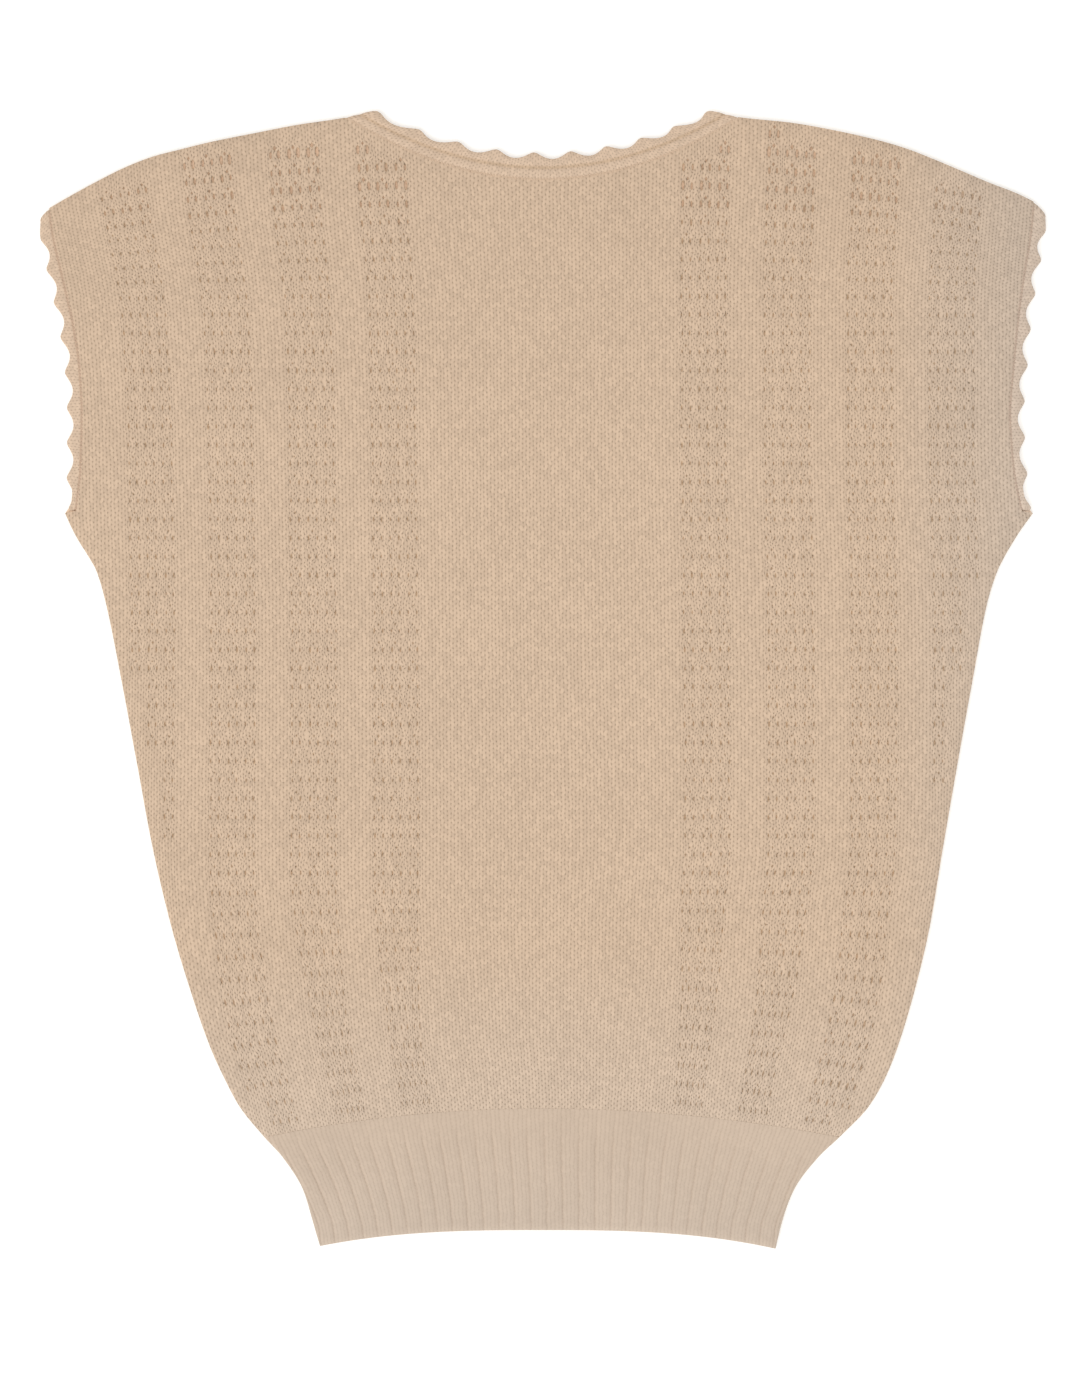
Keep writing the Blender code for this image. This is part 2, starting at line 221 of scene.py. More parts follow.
# Painted light on the cotton, changing slowly along one axis from start to end, in metres: painted grey
# shade at the right edge, painted shade deeper at the neck, and painted cool light paler towards the rib.
Tint = namedtuple("Tint", "axis start end colour")
PAINTED_LIGHT_TINTS = (
    Tint(0, 0.18, 0.25, (0.89, 0.965, 1.07, 1.0)),
    Tint(1, 0.10, 0.28, (0.955, 0.95, 0.945, 1.0)),
    Tint(1, -0.14, -0.29, (0.98, 1.06, 1.17, 1.0)),
)
# How strong the painted grey shade at the right edge is on the panels and edgings.
RIGHT_PAINTED_SHADE = 0.85
STITCH_SLANT = 0.5
STITCH_RELIEF = 0.45
WOBBLE_GRAIN = 190.0
CLOUD_GRAIN = 26.0
FUZZ_GRAIN = 2600.0
FUZZ_HEIGHT = 0.35
LACE_LOOSE = 0.12
COTTON_ROUGHNESS = 0.92
COTTON_GLOSS = 0.15
COTTON_SHEEN = 0.12
SHEEN_ROUGHNESS = 0.6


def smooth_column(table, key, value, at):
    """The value column of a table, read at places along its key column, without corners or overshoots."""
    keys = np.array([getattr(row, key) for row in table], dtype=float)
    values = np.array([getattr(row, value) for row in table], dtype=float)
    slopes = np.diff(values) / np.diff(keys)
    same_way = slopes[1:] * slopes[:-1] > 0
    mean = 2 * slopes[1:] * slopes[:-1] / np.where(same_way, slopes[1:] + slopes[:-1], 1.0)
    tangents = np.concatenate(([slopes[0]], np.where(same_way, mean, 0.0), [slopes[-1]]))
    at = np.clip(at, keys[0], keys[-1])
    left = np.clip(np.searchsorted(keys, at, side="right") - 1, 0, len(keys) - 2)
    step = keys[left + 1] - keys[left]
    part = (at - keys[left]) / step
    low_part = values[left] * (1 + 2 * part) * (1 - part) ** 2
    high_part = values[left + 1] * part ** 2 * (3 - 2 * part)
    slope_part = tangents[left] * part * (1 - part) ** 2 - tangents[left + 1] * part ** 2 * (1 - part)
    return low_part + high_part + slope_part * step


def ease(part):
    part = np.clip(part, 0.0, 1.0)
    return part * part * (3 - 2 * part)


def side_edges(up):
    """The left and right ends of the panels or ribs at each height."""
    ends = []
    for side in ("left", "right"):
        below = smooth_column(SIDE_EDGES, "up", side, up)
        above = smooth_column(ARMHOLE_SEAMS, "up", side, up)
        ends.append(np.where(np.asarray(up) <= SIDE_EDGES[-1].up + 0.1, below, above))
    return ends


def neck_point(turn, share, drop):
    """A point of the neck: turn runs from -1 at the left to 1 at the right, share from 0 at the seam to 1."""
    shares = [line.share for line in NECK_LINES]
    half_width = np.interp(share, shares, [line.half_width for line in NECK_LINES])
    shoulder = np.interp(share, shares, [line.shoulder_up for line in NECK_LINES])
    depth = np.interp(share, shares, [line.depth for line in NECK_LINES]) + drop
    return NECK_MIDDLE + turn * half_width, shoulder - depth * (1 - turn * turn)


def top_up(across, drop):
    """The panels' upper edge: shoulder, neck seam, shoulder."""
    out = np.abs(across - NECK_MIDDLE)
    left = smooth_column(SHOULDER_LINE, "out", "left", out)
    right = smooth_column(SHOULDER_LINE, "out", "right", out)
    turn = (across - NECK_MIDDLE) / NECK_LINES[0].half_width
    neck = neck_point(turn, 0.0, drop)[1] - SEAM + TUCK
    return np.where(np.abs(turn) < 1, neck, np.where(across < NECK_MIDDLE, left, right))


def join_up(across):
    ends = side_edges(JOIN_SIDE_UP)
    reach = np.abs(across / np.where(across < NECK_MIDDLE, ends[0], ends[1]))
    return JOIN_MIDDLE_UP - (JOIN_MIDDLE_UP - JOIN_SIDE_UP) * reach ** JOIN_CURVE


def course_drop(across, level):
    """How far a course hangs below its level in the middle, over the shoulders and along the rib."""
    at_shoulder = ease((level - SHOULDER_FROM) / SHOULDER_REACH)
    over_shoulder = SHOULDER_DROP * np.abs(across / SHOULDER_OUT) ** 3 * at_shoulder
    along_rib = (JOIN_MIDDLE_UP - join_up(across)) * (1 - ease((level - JOIN_MIDDLE_UP) / RIB_REACH))
    return over_shoulder + along_rib


def draw_at(offset, up):
    """How far the stitches are drawn in towards the middle, as a share of their distance from it."""
    left = smooth_column(DRAW_IN, "up", "left", up)
    right = smooth_column(DRAW_IN, "up", "right", up)
    return np.where(offset < 0, left, right)


def gathered(out, at_rib, up):
    """A wale's distance from the middle, with the gathering that starts low on the panel."""
    return out + (at_rib - out) * ease((GATHER_UP - up) / GATHER_REACH)


def knit_spots(wales, courses, neck_drop, held=True):
    """Where stitches lie, across and up. Held stitches stay inside the panel's edges."""
    counts = [wale.count for wale in WALES]
    out = np.interp(np.abs(wales), counts, [wale.out for wale in WALES])
    at_rib = np.interp(np.abs(wales), counts, [wale.at_rib for wale in WALES])
    level = JOIN_MIDDLE_UP - TUCK + courses * COURSE
    up = level.copy()
    for turn in range(KNIT_ROUNDS):
        offset = np.sign(wales) * gathered(out, at_rib, up)
        free = smooth_column(DRAW_IN, "up", "middle", up) + offset * draw_at(offset, up)
        across = free
        if held:
            left, right = side_edges(up)
            across = np.clip(free, left, right)
        up = level - course_drop(across, level)
        if held:
            up = np.minimum(up, top_up(across, neck_drop))
    if held:
        past = np.maximum(left - free, free - right)
        tip = (past > HELD) & (up > TIP_UP - 1.5 * COURSE) & (up < TIP_UP)
        corner = (past > HELD) & (up > UNDERARM_UP) & (up < UNDERARM_UP + 2 * COURSE)
        up = np.where(tip, TIP_UP, np.where(corner, UNDERARM_UP, up))
        left, right = side_edges(up)
        across = np.where(tip | corner, np.clip(free, left, right), across)
    return across, up


def stitch_marks(across, up):
    """The wale and course of each place on a panel, which its knitted material reads."""
    level = up.copy()
    for turn in range(MARK_ROUNDS):
        level = up + course_drop(across, level)
    offset = across - smooth_column(DRAW_IN, "up", "middle", up)
    offset = offset / draw_at(offset, up)
    wale = np.interp(np.abs(offset), [wale.out for wale in WALES], [wale.count for wale in WALES])
    return np.sign(offset) * wale, (level - JOIN_MIDDLE_UP + TUCK) / COURSE


def rim(distance, full, edge):
    """The height of a surface near its edge, where it rounds over from edge to full."""
    turn = np.clip(distance / RIM_WIDTH, 0.0, 1.0)
    return edge + (full - edge) * np.sqrt(1 - (1 - turn) ** 2)


class FlatMesh:
    """Faces laid out flat by wale and course; points that meet are shared.

    Each point has four facts: its depth of relief, how lacy the knitting is there, and how far the cloth's
    lower surface reaches past it, across and up, under the rim of a hole.
    """

    def __init__(self):
        self.index = {}
        self.wales = []
        self.courses = []
        self.facts = []
        self.faces = []

    def point(self, wale, course, facts, shared=True):
        key = (round(wale * 100), round(course * 100))
        if shared and key in self.index:
            return self.index[key]
        number = len(self.wales)
        if shared:
            self.index[key] = number
        self.wales.append(wale)
        self.courses.append(course)
        self.facts.append(facts)
        return number

    def grid(self, wales, courses, depth_of):
        for low, high in zip(courses, courses[1:]):
            for left, right in zip(wales, wales[1:]):
                face = []
                for wale, course in ((left, low), (right, low), (right, high), (left, high)):
                    face.append(self.point(wale, course, (depth_of(wale), 0.0, 0.0, 0.0)))
                self.faces.append(face)

    def knitted(self, neck_drop):
        """The layout's points and faces where they lie in a panel."""
        across, up = knit_spots(np.array(self.wales), np.array(self.courses), neck_drop)
        return merged(across, up, self.facts, self.faces)


def merged(across, up, facts, faces):
    """The flat mesh with points held to the same place made one, and without the faces between them."""
    flat = bmesh.new()
    first_facts = flat.verts.layers.float_vector.new("first_facts")
    last_fact = flat.verts.layers.float.new("last_fact")
    points = [flat.verts.new((x, y, 0.0)) for x, y in zip(across, up)]
    for point, fact in zip(points, facts):
        point[first_facts] = fact[:3]
        point[last_fact] = fact[3]
    for face in faces:
        corners = [points[number] for number in face]
        flat.faces.new(corners)
    bmesh.ops.remove_doubles(flat, verts=flat.verts[:], dist=MERGE)
    bmesh.ops.dissolve_degenerate(flat, dist=SLIVER, edges=flat.edges[:])
    flat.normal_update()
    lost = [face for face in flat.faces if face.calc_area() < SLIVER or face.normal.z < 0]
    bmesh.ops.delete(flat, geom=lost, context="FACES")
    loose = [point for point in flat.verts if not point.link_faces]
    bmesh.ops.delete(flat, geom=loose, context="VERTS")
    for number, point in enumerate(flat.verts):
        point.index = number
    spots = np.array([point.co[:2] for point in flat.verts])
    facts = np.array([[*point[first_facts], point[last_fact]] for point in flat.verts])
    faces = [[corner.index for corner in face.verts] for face in flat.faces]
    flat.free()
    return spots[:, 0], spots[:, 1], facts, faces


def closed_cloth(name, across, up, facts, lower, upper, faces, marks, *materials):
    """A closed wall of cloth between a lower and an upper surface over the same flat faces.

    The upper surface has the last of the materials and the rest has the first.
    """
    count = len(across)
    areas = []
    for face in faces:
        x, y = across[face], up[face]
        areas.append(np.sum(x * np.roll(y, -1) - np.roll(x, -1) * y))
    faces = [face if area > 0 else face[::-1] for face, area in zip(faces, areas)]
    sides = {(a, b) for face in faces for a, b in zip(face, face[1:] + face[:1])}
    rims = [(b, a, a + count, b + count) for a, b in sides if (b, a) not in sides]
    rims.sort()
    under = [[number + count for number in reversed(face)] for face in faces]
    places = np.empty((2 * count, 3))
    places[:, 0] = np.concatenate((across, across + facts[:, 2]))
    places[:, 1] = np.concatenate((up, up + facts[:, 3])) - LENGTH / 2
    places[:, 2] = np.concatenate((upper, lower))
    mesh = bpy.data.meshes.new(name)
    mesh.from_pydata((places * MM).tolist(), [], faces + under + rims)
    marked = mesh.uv_layers.new(name="knit")
    corners = np.empty(len(mesh.loops), dtype=int)
    mesh.loops.foreach_get("vertex_index", corners)
    by_point = np.tile(np.column_stack(marks), (2, 1))
    marked.data.foreach_set("uv", by_point[corners].ravel())
    # On the lower surface, a hole's rim gets one more than its lacy value, which marks painted shade inside
    # the hole.
    lacy_and_hole_shade = facts[:, 1] + ((facts[:, 2] != 0) | (facts[:, 3] != 0))
    lacy = mesh.attributes.new("lacy", "FLOAT", "POINT")
    lacy.data.foreach_set("value", np.concatenate((facts[:, 1], lacy_and_hole_shade)))
    mesh.polygons.foreach_set("use_smooth", [True] * len(mesh.polygons))
    mesh.update(calc_edges=True)
    at_rim = np.zeros(count, dtype=bool)
    at_rim[[number for rim_face in rims for number in rim_face[:2]]] = True
    at_hole = lacy_and_hole_shade > facts[:, 1]
    sharp = np.concatenate((at_rim & ~at_hole, at_rim))
    ends = np.empty(2 * len(mesh.edges), dtype=int)
    mesh.edges.foreach_get("vertices", ends)
    ends = ends.reshape(-1, 2)
    level = (ends < count).all(axis=1) | (ends >= count).all(axis=1)
    mesh.edges.foreach_set("use_edge_sharp", sharp[ends].all(axis=1) & level)
    for finish in materials:
        mesh.materials.append(finish)
    mesh.polygons.foreach_set("material_index", [len(materials) - 1] * len(faces) + [0] * len(under + rims))
    piece = bpy.data.objects.new(name, mesh)
    bpy.context.scene.collection.objects.link(piece)
    return piece


def add_node(tree, kind, inputs=None, **settings):
    """A node with its settings made, and then its inputs linked or filled in."""
    made = tree.nodes.new(kind)
    for key, value in settings.items():
        setattr(made, key, value)
    for key, value in (inputs or {}).items():
        if isinstance(value, bpy.types.NodeSocket):
            tree.links.new(value, made.inputs[key])
        else:
            made.inputs[key].default_value = value
    return made


class Recipe:
    """A material's node tree, with short words for the nodes that the cotton finishes are made of."""

    def __init__(self, name):
        self.material = bpy.data.materials.new(name)
        self.material.use_nodes = True
        self.tree = self.material.node_tree
        self.shader = self.tree.nodes["Principled BSDF"]

    def node(self, kind, inputs=None, **settings):
        return add_node(self.tree, kind, inputs, **settings)

    def math(self, operation, *values):
        return self.node("ShaderNodeMath", dict(enumerate(values)), operation=operation).outputs[0]

    def mix(self, part, first, second, blend="MIX"):
        made = self.node("ShaderNodeMix", {0: part, 6: first, 7: second}, data_type="RGBA", blend_type=blend)
        return made.outputs[2]

    def with_painted_light(self, places, base, right_painted_shade):
        """The colour with the cotton's painted light, its painted shade on the right as strong as is given.
        """
        where = self.node("ShaderNodeSeparateXYZ", {0: places}).outputs
        for tint, strength in zip(PAINTED_LIGHT_TINTS, (right_painted_shade, 1.0, 1.0)):
            inputs = {0: where[tint.axis], 1: tint.start, 2: tint.end, 4: strength}
            part = self.node("ShaderNodeMapRange", inputs).outputs[0]
            base = self.mix(part, base, tint.colour, "MULTIPLY")
        return base

    def matte(self, colour, bright, height, relief):
        """The finished cotton: its colour made brighter or darker, and the height of its surface."""
        shaded = self.node("ShaderNodeVectorMath", {0: colour, "Scale": bright}, operation="SCALE")
        bump = self.node("ShaderNodeBump", {"Height": height, "Distance": relief * MM, "Strength": 1.0})
        self.tree.links.new(shaded.outputs[0], self.shader.inputs["Base Color"])
        self.tree.links.new(bump.outputs[0], self.shader.inputs["Normal"])
        self.shader.inputs["Roughness"].default_value = COTTON_ROUGHNESS
        self.shader.inputs["Specular IOR Level"].default_value = COTTON_GLOSS
        self.shader.inputs["Sheen Weight"].default_value = COTTON_SHEEN
        return self.material


def knitted_cotton(name, yarn, painted_shade, relief, right_painted_shade, side_share=0.25, uneven=0.15):
    """Stocking stitch in matte cotton: each stitch is a V of two slanting legs, with painted shade where the
    yarn turns.

    The knitting is looser where the cloth is lacy, and painted shade browns the yarn inside a hole and in a
    furrow.
    """
    knit = Recipe(name)
    places = knit.node("ShaderNodeTexCoord").outputs["Object"]
    marks = knit.node("ShaderNodeSeparateXYZ", {0: knit.node("ShaderNodeUVMap", uv_map="knit").outputs["UV"]})
    wobble = knit.node("ShaderNodeTexNoise", {"Vector": places, "Scale": WOBBLE_GRAIN, "Detail": 1.0})
    sway = knit.node("ShaderNodeSeparateColor", {0: wobble.outputs["Color"]})
    lacy = knit.node("ShaderNodeAttribute", attribute_name="lacy").outputs["Fac"]
    reach = knit.math("MULTIPLY_ADD", knit.math("MINIMUM", lacy, 1.0), 0.9, 0.4)
    sideways = knit.math("MULTIPLY", knit.math("SUBTRACT", sway.outputs[0], 0.5), reach)
    upwards = knit.math("MULTIPLY", knit.math("SUBTRACT", sway.outputs[1], 0.5), reach)
    wale = knit.math("ADD", marks.outputs[0], sideways)
    course = knit.math("ADD", marks.outputs[1], upwards)
    in_wale = knit.math("FRACT", wale)
    from_middle = knit.math("MULTIPLY", knit.math("ABSOLUTE", knit.math("SUBTRACT", in_wale, 0.5)), 2.0)
    slanted = knit.math("SUBTRACT", course, knit.math("MULTIPLY", from_middle, STITCH_SLANT))
    across_leg = knit.math("MULTIPLY_ADD", knit.math("FRACT", knit.math("MULTIPLY", wale, 2.0)), 2.0, -1.0)
    along_leg = knit.math("MULTIPLY_ADD", knit.math("FRACT", slanted), 2.0, -1.0)
    at_side = knit.math("MULTIPLY", across_leg, across_leg)
    at_end = knit.math("MULTIPLY", knit.math("MULTIPLY", along_leg, along_leg), 1.0 - side_share)
    at_corner = knit.math("MULTIPLY", at_end, knit.math("MULTIPLY_ADD", at_side, 0.95, 0.05))
    looser = knit.math("MULTIPLY_ADD", knit.math("MINIMUM", lacy, 1.0), LACE_LOOSE, 1.0)
    turned_under = knit.math("POWER", knit.math("MULTIPLY_ADD", at_side, side_share, at_corner), 1.3)
    turned_under = knit.math("MULTIPLY", turned_under, looser)
    height = knit.math("SUBTRACT", 1.0, turned_under)

    half_wale = knit.math("FLOOR", knit.math("MULTIPLY", wale, 2.0))
    stitch = knit.node("ShaderNodeCombineXYZ", {0: half_wale, 1: knit.math("FLOOR", slanted)})
    chance = knit.node("ShaderNodeTexWhiteNoise", {"Vector": stitch.outputs[0]}, noise_dimensions="2D")
    cloud = knit.node("ShaderNodeTexNoise", {"Vector": places, "Scale": CLOUD_GRAIN, "Detail": 3.0})
    patch = knit.math("MULTIPLY_ADD", cloud.outputs["Fac"], 0.10, 0.95)
    by_chance = knit.math("MULTIPLY_ADD", chance.outputs["Value"], uneven, -uneven / 2)
    bright = knit.math("ADD", patch, by_chance)
    # Painted shade: where the lacy value passes one, inside a hole or in a furrow, the yarn is browner.
    hollow_shade = knit.node("ShaderNodeMapRange", {0: lacy, 1: 1.0, 2: 1.6}, interpolation_type="SMOOTHSTEP")
    # Where the yarn turns under between the legs, it takes the darker colour of painted shade.
    base = knit.mix(hollow_shade.outputs[0], knit.mix(height, painted_shade, yarn), HOLLOW_PAINTED_SHADE, "MULTIPLY")
    fuzz = knit.node("ShaderNodeTexNoise", {"Vector": places, "Scale": FUZZ_GRAIN, "Detail": 2.0})
    yarn_height = knit.math("MULTIPLY_ADD", fuzz.outputs["Fac"], FUZZ_HEIGHT, height)
    knit.shader.inputs["Sheen Roughness"].default_value = SHEEN_ROUGHNESS
    # The colour takes the cotton's painted light: painted shade at the right and the neck, cool light towards
    # the rib.
    return knit.matte(knit.with_painted_light(places, base, right_painted_shade), bright, yarn_height, relief)


def panel_surface(across, up, full, edge, neck_drop):
    """The height of a panel's outer surface: rounded over at its sides and shoulders, and dented at seams."""
    left, right = side_edges(up)
    from_side = np.minimum(across - left, right - across)
    from_top = top_up(across, neck_drop) - up
    in_neck = np.abs(across - NECK_MIDDLE) < NECK_LINES[0].half_width
    beside_armhole = up > UNDERARM_UP - 0.1
    side_edge = full + (edge - full) * np.where(beside_armhole, ARMHOLE_DENT, 1.0)
    top_edge = full + (edge - full) * np.where(in_neck, NECK_DENT, 1.0)
    side_high = rim(from_side, full, side_edge)
    top_high = rim(from_top, full, top_edge)
    return np.where(np.abs(side_high - full) > np.abs(top_high - full), side_high, top_high)


def plain_furrow(wale):
    """The furrow between two wales; a wale's middle stands proud of it."""
    return WALE_FURROW if abs(wale - round(wale)) < 0.01 else 0.0


plain_knit = knitted_cotton("plain_knit", COTTON, COTTON_PAINTED_SHADE, STITCH_RELIEF, RIGHT_PAINTED_SHADE)
# The side that faces the front panel shows through its eyelets. It glows in its own colour, painted light
# that stands in for light coming through the thin cloth.
inner_glowing_knit = knitted_cotton("inner_glowing_knit", COTTON, COTTON_PAINTED_SHADE, STITCH_RELIEF, RIGHT_PAINTED_SHADE)
inner_shader = inner_glowing_knit.node_tree.nodes["Principled BSDF"]
inner_colour = inner_shader.inputs["Base Color"].links[0].from_socket
inner_glowing_knit.node_tree.links.new(inner_colour, inner_shader.inputs["Emission Color"])
inner_shader.inputs["Emission Strength"].default_value = PAINTED_GLOW_THROUGH_CLOTH
back_layout = FlatMesh()
back_layout.grid(np.arange(-80, 80.5, 0.5), np.arange(0, COURSES + 1, 4), plain_furrow)
back_across, back_up, back_facts, back_faces = back_layout.knitted(HIDDEN_NECK_DROP)
back_lower = panel_surface(back_across, back_up, back_facts[:, 0], WALL - RIM_HIGH, HIDDEN_NECK_DROP)
back_upper = np.full(len(back_up), WALL)
back_marks = stitch_marks(back_across, back_up)
back_cloth = closed_cloth("back_panel_cloth", back_across, back_up, back_facts, back_lower, back_upper,
                          back_faces, back_marks, plain_knit, inner_glowing_knit)
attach(back_cloth, "root")
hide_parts("back_panel")


# The front panel: the half of the tube that faces up, in the same cotton. Four lace stripes run up each side
# of a plain middle. A lace motif is three wales by four courses: two long eyelets, and a smaller hole above.
FRONT_UNDER = WALL + SEAM
PUFF = 0.9
PUFF_REACH = 45.0
RIPPLE = 0.2
RIPPLE_ACROSS = 61.0
RIPPLE_UP = 83.0
RIPPLE_START = 0.7
SHELL = 1.3
LACE_STRIPES = ((18, 27), (31, 40), (44, 53), (57, 66))
MOTIF_WALES = 3
MOTIF_COURSES = 4
LACE_WALE = 3.1
FIRST_LACE_COURSE = 1
EYELETS = ((0.8, 1.65), (2.2, 1.65))
EYELET_SIZE = (0.27, 1.04)
SMALL_HOLE = (1.5, 3.1)
SMALL_HOLE_SIZE = (0.26, 0.54)
EYELET_CORNERS = 8
SMALL_HOLE_CORNERS = 4
HOLE_DIP = 0.15
HOLE_SHELL = 0.75
HOLE_WAIST = 0.5
SIDE_MARGIN = 3.0
TOP_MARGIN = 1.0
THINNEST = 0.5
LACE_SEED = 11
EDGE_LACINESS = 0.3
# How wide the holes are drawn open, how much more from start to end, towards the shoulders and the rib, and
# how much they differ from row to row, from hole to hole, and in their place.
OPEN = 0.77
Wider = namedtuple("Wider", "by start end")
WIDER = (
    Wider(0.35, 520.0, 570.0),
    Wider(0.06, 170.0, 110.0),
)
ROW_OPENNESS = (0.94, 1.06)
HOLE_OPENNESS = (0.66, 1.14)
HOLE_SHIFTS = (-0.1, 0.1)


def lace_template():
    """One motif as triangles: its outline's points, then each hole's points, and the faces between them."""
    outline = [(wale, 0) for wale in range(MOTIF_WALES + 1)] + [(MOTIF_WALES, 2)]
    outline += [(wale, MOTIF_COURSES) for wale in range(MOTIF_WALES, -1, -1)] + [(0, 2)]
    holes = [(spot, EYELET_SIZE, EYELET_CORNERS) for spot in EYELETS]
    holes.append((SMALL_HOLE, SMALL_HOLE_SIZE, SMALL_HOLE_CORNERS))
    points = [Vector(spot) for spot in outline]
    owners = [-1] * len(points)
    for number, (spot, size, corners) in enumerate(holes):
        for corner in range(corners):
            angle = 2 * math.pi * corner / corners + math.pi / 2
            place = (spot[0] + size[0] * math.cos(angle), spot[1] + size[1] * math.sin(angle))
            points.append(Vector(place))
            owners.append(number)
    edges = []
    for owner in range(-1, len(holes)):
        ring = [number for number, whose in enumerate(owners) if whose == owner]
        edges += zip(ring, ring[1:] + ring[:1])
    places, _, faces, origins, _, _ = delaunay_2d_cdt(points, edges, [], 0, 1e-5)
    first = [origin[0] for origin in origins]
    faces = [[first[corner] for corner in face] for face in faces]
    faces = [face for face in faces if len({owners[corner] for corner in face}) > 1 or owners[face[0]] < 0]
    return points, owners, holes, faces


motif_points, motif_owners, motif_holes, motif_faces = lace_template()
chance = np.random.default_rng(LACE_SEED)
row_openness = chance.uniform(*ROW_OPENNESS, COURSES)
front_layout = FlatMesh()
courses = [0, *range(FIRST_LACE_COURSE, COURSES + MOTIF_COURSES, 2)]
stripe_edges = sorted([-edge for stripe in LACE_STRIPES for edge in stripe])
stripe_edges += [edge for stripe in LACE_STRIPES for edge in stripe]
plain_bands = zip([-80] + stripe_edges[1::2], stripe_edges[0::2] + [80])
for start, end in plain_bands:
    front_layout.grid(np.arange(start, end + 0.5, 0.5), courses, plain_furrow)
for start, end in zip(stripe_edges[0::2], stripe_edges[1::2]):
    front_layout.grid(range(start, end + 1), (0, FIRST_LACE_COURSE), plain_furrow)
    for first_wale in range(start, end, MOTIF_WALES):
        for first_course in range(FIRST_LACE_COURSE, COURSES, MOTIF_COURSES):
            corner_wales = np.array([first_wale, first_wale + MOTIF_WALES] * 2, dtype=float)
            corner_courses = np.array([first_course] * 2 + [first_course + MOTIF_COURSES] * 2, dtype=float)
            across, up = knit_spots(corner_wales, corner_courses, 0.0, held=False)
            left, right = side_edges(up)
            beside = min((across - left).min(), (right - across).min())
            above = (top_up(across, 0.0) - up).min()
            if beside < SIDE_MARGIN or above < TOP_MARGIN:
                front_layout.grid(range(first_wale, first_wale + MOTIF_WALES + 1),
                                  range(first_course, first_course + MOTIF_COURSES + 1, 2), lambda wale: 0.0)
                continue
            openness = OPEN
            for wider in WIDER:
                openness += wider.by * ease((up.mean() - wider.start) / (wider.end - wider.start))
            openness *= row_openness[first_course]
            scales = openness * chance.uniform(*HOLE_OPENNESS, len(motif_holes))
            shifts = chance.uniform(*HOLE_SHIFTS, (len(motif_holes), 2))
            numbers = []
            for point, owner in zip(motif_points, motif_owners):
                if owner < 0:
                    at_edge = first_wale + point.x in (start, end)
                    facts = (0.0, EDGE_LACINESS if at_edge else 1.0, 0.0, 0.0)
                    numbers.append(front_layout.point(first_wale + point.x, first_course + point.y, facts))
                    continue
                middle = motif_holes[owner][0]
                reach = (point - Vector(middle)) * scales[owner]
                wale = first_wale + middle[0] + reach.x + shifts[owner][0]
                course = first_course + middle[1] + reach.y + shifts[owner][1]
                waist = HOLE_WAIST * openness ** 3
                facts = (HOLE_DIP, 1.0, -reach.x * (1 - waist) * LACE_WALE, -reach.y * (1 - waist) * COURSE)
                numbers.append(front_layout.point(wale, course, facts, shared=False))
            front_layout.faces += [[numbers[corner] for corner in face] for face in motif_faces]


def puff(across, up):
    """How much the front panel lifts off the back one, nothing at its seams."""
    left, right = side_edges(up)
    inside = np.minimum(np.minimum(across - left, right - across), top_up(across, 0.0) - up)
    inside = np.minimum(inside, up - join_up(across))
    ripple = RIPPLE * np.sin(across / RIPPLE_ACROSS + RIPPLE_START) * np.sin(up / RIPPLE_UP)
    return ease(inside / PUFF_REACH) * (PUFF + ripple)


front_across, front_up, front_facts, front_faces = front_layout.knitted(0.0)
front_full = FRONT_UNDER + WALL + puff(front_across, front_up) - front_facts[:, 0]
front_upper = panel_surface(front_across, front_up, front_full, FRONT_UNDER + RIM_HIGH, 0.0)
at_hole = (front_facts[:, 2] != 0) | (front_facts[:, 3] != 0)
front_shell = np.where(at_hole, HOLE_SHELL, SHELL)
front_lower = front_upper + front_facts[:, 0] - front_shell
front_lower = np.clip(front_lower, FRONT_UNDER, front_upper - THINNEST)
front_marks = stitch_marks(front_across, front_up)
front_cloth = closed_cloth("front_panel_cloth", front_across, front_up, front_facts, front_lower, front_upper,
                           front_faces, front_marks, plain_knit)
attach(front_cloth, "root")
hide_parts("front_panel")


# The ribbed hem: two bands knitted on below the panels in a firmer, slightly greyer rib. Each rib is two
# wales wide and stands proud of a narrow furrow; the ribs fan out towards the panel, which gathers into them.
HEM_MIDDLE_UP = 9.8
HEM_CORNERS_UP = (1.4, 0.0)
HEM_CURVE = 2.8
RIB_WALES = 2
RIBS_EACH_SIDE = 17
RIB_ROWS = 32
RIB_DEPTH = 0.7
RIB_FADE = 0.66
RIB_FADED = 0.9
RIB_COURSE = 1.9
RIB_RELIEF = 0.12
# The rib takes a weaker share of the painted grey shade at the right edge.
RIB_RIGHT_PAINTED_SHADE = 0.5
RIB_ROUNDS = 6
RIB_MARK_ROUNDS = 8
# How the ribs fan out with height: where the middle furrow lies, how wide the ribs beside it are, and how
# much each next pair of ribs spreads.
RibFan = namedtuple("RibFan", "up middle pitch spread")
RIB_FAN = (
    RibFan(0.0, 2.8, 8.42, -0.034),
    RibFan(12.6, 2.6, 8.48, -0.030),
    RibFan(23.2, 2.5, 8.54, -0.017),
    RibFan(33.7, 2.1, 8.64, -0.005),
    RibFan(44.2, 1.6, 8.76, 0.009),
    RibFan(54.8, 1.2, 8.95, 0.019),
    RibFan(65.3, 1.1, 9.15, 0.025),
    RibFan(74.2, 1.1, 9.30, 0.029),
)
